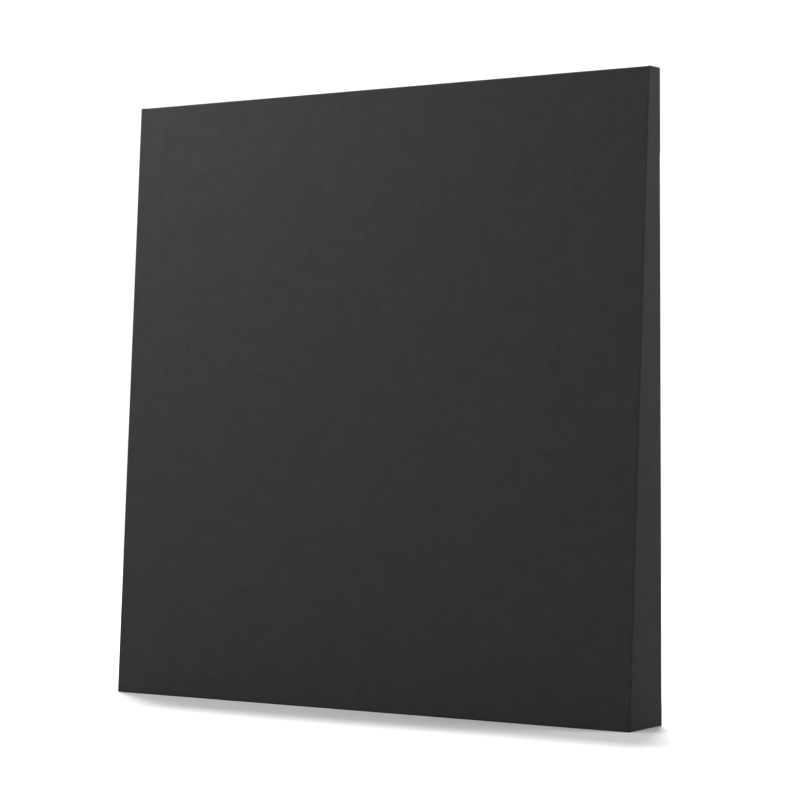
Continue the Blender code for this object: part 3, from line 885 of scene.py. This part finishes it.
def staple_mesh(crown, legs, wire_w, wire_t):
    """One staple's path and section: a flat wire bent to a crown and two legs. Its own frame is X along the crown, Y out of the panel."""
    r = 0.0006
    path = [(-crown / 2, -legs)]
    for k in range(5):
        a = math.pi - k * math.pi / 8
        path.append((-crown / 2 + r + r * math.cos(a), -r + r * math.sin(a)))
    path.append((0.0, 0.00006))
    for k in range(5):
        a = math.pi / 2 - k * math.pi / 8
        path.append((crown / 2 - r + r * math.cos(a), -r + r * math.sin(a)))
    path.append((crown / 2, -legs))
    section = []
    for cx, cz, a0 in ((1, 1, 0), (-1, 1, 90), (-1, -1, 180), (1, -1, 270)):
        for k in range(3):
            a = math.radians(a0 + 45 * k)
            section.append((cx * (wire_w / 2 - 0.00015) + 0.00015 * math.cos(a), cz * (wire_t / 2 - 0.00015) + 0.00015 * math.sin(a)))
    verts, faces = [], []
    m = len(section)
    for k, (px, py) in enumerate(path):
        a = path[max(0, k - 1)]
        b = path[min(len(path) - 1, k + 1)]
        tx, ty = b[0] - a[0], b[1] - a[1]
        l = math.hypot(tx, ty)
        nx_, ny_ = -ty / l, tx / l  # out of the bend
        for w, tt in section:
            verts.append((px + nx_ * tt, py + ny_ * tt, w))
    for k in range(len(path) - 1):
        for q in range(m):
            r2 = (q + 1) % m
            faces.append((k * m + q, (k + 1) * m + q, (k + 1) * m + r2, k * m + r2))
    faces.append(tuple(reversed(range(m))))
    faces.append(tuple(range((len(path) - 1) * m, len(path) * m)))
    return verts, faces


def make_staples(name, spots, height_of):
    """All the staples of one seam. spots are (x, z, angle), and height_of gives the cloth's outer face under a crown."""
    base_v, base_f = staple_mesh(0.0102, 0.0020, 0.00075, 0.00050)
    rng = random.Random(len(spots))
    verts, faces = [], []
    for x, z, angle in spots:
        h = height_of(x, z) + 0.00012 + rng.uniform(0, 0.0001)
        turn = Matrix.Rotation(-angle, 4, "Y")
        tip = Matrix.Rotation(rng.uniform(-0.03, 0.03), 4, "Z")
        place = Matrix.Translation((x, BACK_Y + h, z)) @ turn @ tip
        start = len(verts)
        verts += [place @ Vector(v) for v in base_v]
        faces += [tuple(start + i for i in f) for f in base_f]
    return new_object(name, verts, faces)


# ---------------------------------------------------------------- pads, core, fleece


def make_pad(name, cad):
    """A punched felt disc: soft rim, slightly dished by its adhesive, fibres raised on its edge."""
    low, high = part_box(cad)
    cx, cz = (low.x + high.x) / 2, (low.z + high.z) / 2
    r, y0, y1 = (high.x - low.x) / 2, low.y, high.y
    seg = 96
    seed = cx * 31 + cz * 17
    profile = [(0.0, 1.0), (0.25, 1.0), (0.5, 0.995), (0.72, 0.985), (0.86, 0.965), (0.93, 0.93), (0.97, 0.87), (0.99, 0.78), (1.0, 0.62), (1.0, 0.38), (0.992, 0.18), (0.975, 0.05), (0.95, 0.0), (0.6, 0.0), (0.0, 0.0)]
    verts, faces, rings = [], [], []
    for f, h in profile:
        if f == 0.0:
            verts.append((cx, y0 + (y1 - y0) * h, cz))
            rings.append([len(verts) - 1])
            continue
        row = []
        for k in range(seg):
            a = 2 * math.pi * k / seg
            d = Vector((math.cos(a), 0, math.sin(a)))
            n1 = noise.noise(Vector((math.cos(a) * 9 * f + seed, math.sin(a) * 9 * f, h * 2)))
            n2 = noise.noise(Vector((math.cos(a) * 26 * f + seed, math.sin(a) * 26 * f, h * 5)))
            out = r * f - 0.00030 * (1 if f > 0.9 else 0) + (0.00012 * n1 + 0.00012 * n2) * (1 if f > 0.6 else 0)
            lift = (0.00010 * n1 + 0.00006 * n2 - 0.00012) * (1 if h > 0.5 else 0)
            p = Vector((cx, 0, cz)) + d * out
            verts.append((p.x, min(y1, y0 + (y1 - y0) * h + lift), p.z))
            row.append(len(verts) - 1)
        rings.append(row)
    for a, b in zip(rings, rings[1:]):
        for k in range(seg):
            l = (k + 1) % seg
            if len(a) == 1:
                faces.append((a[0], b[k], b[l]))
            elif len(b) == 1:
                faces.append((a[k], b[0], a[l]))
            else:
                faces.append((a[k], b[k], b[l], a[l]))
    return new_object(name, verts, faces)


def make_core():
    """The mineral wool wedge, its corners cut off round the gussets, its faces a little uneven."""
    low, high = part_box("absorber_core")
    y_back = high.y
    cut = 0.0600
    inset = EDGE + 0.0022
    xs = grid_lines(low.x + 0.0006, high.x - 0.0006, [(0.012, 0.003), (0.066, 0.006)], 0.014)
    zs = grid_lines(low.z + 0.0006, high.z - 0.0006, [(0.012, 0.003), (0.066, 0.006)], 0.014)
    nx, nz = len(xs), len(zs)
    # where the gussets are, the board is 10 mm thinner
    verts, faces = [], []
    front, back = {}, {}
    for j, z in enumerate(zs):
        for i, x in enumerate(xs):
            edge = min(i, nx - 1 - i, j, nz - 1 - j)
            soft = 0.0007 if edge == 0 else 0.0
            corner = (high.x - abs(x)) + min(z - low.z, high.z - z)
            relief = (1 - smoothstep(cut - 0.001, cut + 0.002, corner)) * 0.0100
            front[i, j] = len(verts)
            verts.append((x, front_y(z, 0.0026) + soft + 0.00025 + 0.00022 * noise.noise(Vector((x * 60, 1, z * 60))), z))
            back[i, j] = len(verts)
            verts.append((x, y_back - soft - relief - 0.0003 + 0.00028 * noise.noise(Vector((x * 45, 5, z * 45))), z))
    for j in range(nz - 1):
        for i in range(nx - 1):
            faces.append((front[i, j], front[i + 1, j], front[i + 1, j + 1], front[i, j + 1]))
            faces.append((back[i, j], back[i, j + 1], back[i + 1, j + 1], back[i + 1, j]))
    loop = [(i, 0) for i in range(nx)] + [(nx - 1, j) for j in range(1, nz)] + [(i, nz - 1) for i in reversed(range(nx - 1))] + [(0, j) for j in reversed(range(1, nz - 1))]
    layers = 6
    rows = [[front[c] for c in loop]]
    for k in range(1, layers):
        f = k / layers
        row = []
        for c in loop:
            a, b = Vector(verts[front[c]]), Vector(verts[back[c]])
            p = a.lerp(b, f)
            out = Vector((0, 0, 0))
            if c[0] in (0, nx - 1):
                out.x = 0.00045 if c[0] else -0.00045
            if c[1] in (0, nz - 1):
                out.z = 0.00045 if c[1] else -0.00045
            verts.append(p + out * (0.7 + 0.5 * noise.noise(p * 70)))
            row.append(len(verts) - 1)
        rows.append(row)
    rows.append([back[c] for c in loop])
    for a, b in zip(rows, rows[1:]):
        for k in range(len(loop)):
            l = (k + 1) % len(loop)
            faces.append((a[k], b[k], b[l], a[l]))
    return new_object("wool_core", verts, faces)


def make_fleece():
    low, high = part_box("front_fleece")
    xs = grid_lines(low.x + 0.0002, high.x - 0.0002, [(0.020, 0.005)], 0.012)
    zs = grid_lines(low.z + 0.0002, high.z - 0.0002, [(0.020, 0.005)], 0.012)
    nx, nz = len(xs), len(zs)
    verts, faces, a, b = [], [], {}, {}
    for j, z in enumerate(zs):
        for i, x in enumerate(xs):
            w = 0.00004 * noise.noise(Vector((x * 30, 2, z * 30)))
            a[i, j] = len(verts)
            verts.append((x, front_y(z, 0.00142) + w, z))
            b[i, j] = len(verts)
            verts.append((x, front_y(z, 0.00182) + w, z))
    for j in range(nz - 1):
        for i in range(nx - 1):
            faces.append((a[i, j], a[i + 1, j], a[i + 1, j + 1], a[i, j + 1]))
            faces.append((b[i, j], b[i, j + 1], b[i + 1, j + 1], b[i + 1, j]))
    loop = [(i, 0) for i in range(nx)] + [(nx - 1, j) for j in range(1, nz)] + [(i, nz - 1) for i in reversed(range(nx - 1))] + [(0, j) for j in reversed(range(1, nz - 1))]
    for p, q in zip(loop, loop[1:] + loop[:1]):
        faces.append((a[p], b[p], b[q], a[q]))
    return new_object("fleece_layer", verts, faces)


# ---------------------------------------------------------------- the stage

BOUNCE = 0.15


def area_light(name, place, target, size, power, colour=(1, 1, 1), size_y=None, spread=math.pi):
    d = bpy.data.lights.new(name, "AREA")
    d.energy = power
    d.color = colour
    d.shape = "RECTANGLE" if size_y else "SQUARE"
    d.size = size
    if size_y:
        d.size_y = size_y
    d.spread = spread
    o = bpy.data.objects.new(name, d)
    bpy.context.scene.collection.objects.link(o)
    o.location = place
    o.rotation_mode = "QUATERNION"
    o.rotation_quaternion = (Vector(target) - Vector(place)).to_track_quat("-Z", "Y")
    o.visible_camera = False
    return o


def sun_light(name, behind, turn, power, angle):
    """A distant lamp overhead, leaning so many degrees back and turned to the left, so that the panel's shadow falls just in front of its foot, towards the camera."""
    d = bpy.data.lights.new(name, "SUN")
    d.energy = power
    d.angle = math.radians(angle)
    o = bpy.data.objects.new(name, d)
    bpy.context.scene.collection.objects.link(o)
    a, b = math.radians(behind), math.radians(turn)
    towards = Vector((-math.sin(a) * math.sin(b), math.sin(a) * math.cos(b), math.cos(a)))
    o.location = 3 * towards
    o.rotation_mode = "QUATERNION"
    o.rotation_quaternion = (-towards).to_track_quat("-Z", "Y")
    return o


def make_camera():
    d = bpy.data.cameras.new("camera")
    d.sensor_fit = "HORIZONTAL"
    d.sensor_width = 36.0
    d.lens = 117.437
    d.clip_start, d.clip_end = 0.05, 60.0
    d.dof.use_dof = False
    o = bpy.data.objects.new("camera", d)
    bpy.context.scene.collection.objects.link(o)
    yaw, pitch, roll = math.radians(34.5496), math.radians(0.0023), math.radians(0.1594)
    # columns: right, forward, up
    m = Matrix.Rotation(yaw, 3, "Z") @ Matrix.Rotation(pitch, 3, "X") @ Matrix.Rotation(roll, 3, "Y")
    right, forward, up = m.col[0], m.col[1], m.col[2]
    o.matrix_world = Matrix(
        (
            (right.x, up.x, -forward.x, 1.45331),
            (right.y, up.y, -forward.y, -2.06643),
            (right.z, up.z, -forward.z, 0.29763),
            (0, 0, 0, 1),
        )
    )
    bpy.context.scene.camera = o
    return o


def plane(name, height, reach=14.0, n=24):
    verts, faces = [], []
    for j in range(n + 1):
        for i in range(n + 1):
            verts.append(((i / n - 0.5) * 2 * reach, (j / n - 0.5) * 2 * reach, height))
    for j in range(n):
        for i in range(n):
            a = j * (n + 1) + i
            faces.append((a, a + 1, a + n + 2, a + n + 1))
    return new_object(name, verts, faces)


def make_floor():
    """A wide pale studio floor, which the camera sees, and a duller one just under it that the light bounces off, so that a white floor doesn't flood the dark cloth."""
    o = plane("studio_floor", 0.0)
    m = material("studio_floor_pale")
    t = Tree(m)
    p = t.add("ShaderNodeTexCoord").outputs["Object"]
    tone = t.ramp(t.noise(p, 1.5, 3.0), [(0.3, (0.80, 0.80, 0.80)), (0.7, (0.82, 0.82, 0.82))])
    t.principled(Base_Color=tone, Roughness=0.9, Specular_IOR_Level=0.0)
    dress(o, m)
    o.visible_diffuse = False
    o.visible_shadow = False
    under = plane("studio_floor_bounce", -0.001)
    m = material("studio_floor_dull")
    t = Tree(m)
    t.principled(Base_Color=(0.81 * BOUNCE,) * 3, Roughness=1.0, Specular_IOR_Level=0.0)
    dress(under, m)
    under.visible_camera = False
    under.visible_glossy = False
    return o


def make_world(strength):
    """White behind the panel, and a softer even light from all round."""
    w = bpy.data.worlds.new("studio")
    bpy.context.scene.world = w
    w.use_nodes = True
    nt = w.node_tree
    nt.nodes.clear()
    path = nt.nodes.new("ShaderNodeLightPath")
    a = nt.nodes.new("ShaderNodeBackground")
    a.inputs["Color"].default_value = (1, 1, 1, 1)
    a.inputs["Strength"].default_value = strength
    b = nt.nodes.new("ShaderNodeBackground")
    b.inputs["Color"].default_value = (1, 1, 1, 1)
    b.inputs["Strength"].default_value = 1.1
    mix = nt.nodes.new("ShaderNodeMixShader")
    out = nt.nodes.new("ShaderNodeOutputWorld")
    nt.links.new(path.outputs["Is Camera Ray"], mix.inputs[0])
    nt.links.new(a.outputs[0], mix.inputs[1])
    nt.links.new(b.outputs[0], mix.inputs[2])
    nt.links.new(mix.outputs[0], out.inputs[0])


# ---------------------------------------------------------------- build

clean_scene()
make_camera()
make_floor()
make_world(0.06)
scene = bpy.context.scene
scene.view_settings.view_transform = "Standard"
scene.view_settings.look = "None"
scene.view_settings.exposure = 0.0
scene.view_settings.gamma = 1.0

sun_light("overhead", 16.1, 35.1, 3.95, 9.5)
area_light("key_high", (-0.4, -0.5, 1.1), (0.0, 0.0, 0.3), 0.4, 4.43)
area_light("key_left", (-0.8, -0.35, 0.9), (0.0, 0.0, 0.3), 0.3, 2.65)
area_light("key_low", (-1.0, -2.5, 0.35), (0.0, 0.0, 0.3), 1.0, 23.7)
area_light("side", (1.0, 0.3, 0.9), (0.0, 0.0, 0.3), 0.4, 5.52)
area_light("side_far", (2.5, -1.0, 1.5), (0.0, 0.0, 0.3), 0.9, 13.5)
area_light("back_soft", (-1.9, 1.0, 1.2), (0.0, 0.03, 0.35), 0.8, 20.0)

fabric = fabric_material()
nonwoven = nonwoven_material()
zinc = zinc_material()
aluminium = aluminium_material()
ply = ply_material()
felt = felt_material()

wrap = make_fabric()
dress(wrap, fabric)
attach(wrap, "panel")
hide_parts("fabric_cover")

fleece = make_fleece()
dress(fleece, fleece_material())
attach(fleece, "panel")
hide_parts("front_fleece")

core = make_core()
dress(core, wool_material())
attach(core, "panel")
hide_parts("absorber_core")

dust = make_dust_sheet()
dress(dust, nonwoven)
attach(dust, "panel")
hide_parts("dust_cover")

for cad in ("wall_pad_bottom_left", "wall_pad_bottom_right", "wall_pad_top_left", "wall_pad_top_right"):
    pad = make_pad(cad.replace("wall_pad", "felt_pad"), cad)
    dress(pad, felt)
    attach(pad, "panel")
    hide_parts(cad)

dust_staples = make_staples("dust_cover_staples", [s[:3] for s in SPOTS], lambda x, z: dust_height(x, z) + 0.00024 + hem_height(x, z))
dress(dust_staples, zinc)
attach(dust_staples, "panel")

rng = random.Random(5)
round_pocket = []
for k in range(7):
    round_pocket.append((-0.150 + 0.300 * k / 6 + rng.uniform(-0.004, 0.004), 0.5930 + rng.uniform(-0.0006, 0.0006), rng.uniform(-0.1, 0.1)))
for s in (-1, 1):
    for k in range(2):
        round_pocket.append((s * (0.1735 + rng.uniform(-0.0005, 0.0005)), 0.549 + 0.027 * k + rng.uniform(-0.002, 0.002), math.pi / 2 + rng.uniform(-0.12, 0.12)))
    for k in range(2):
        round_pocket.append((s * (0.206 + 0.040 * k + rng.uniform(-0.003, 0.003)), 0.5485 + rng.uniform(-0.0015, 0.0015), rng.uniform(-0.15, 0.15)))
pocket_staples = make_staples("pocket_staples", round_pocket, lambda x, z: 0.0)
dress(pocket_staples, zinc)
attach(pocket_staples, "panel")

for k, name in enumerate(("left_stile", "right_stile")):
    dress(NODES[name], pine_material("pine_" + name, 2, k + 1))
for k, name in enumerate(("top_rail", "bottom_rail")):
    dress(NODES[name], pine_material("pine_" + name, 0, k + 4))
for name, o in NODES.items():
    if name.startswith("gusset"):
        dress(o, ply)
    elif "screw" in name:
        dress(o, zinc)
    elif "cleat" in name:
        dress(o, aluminium)
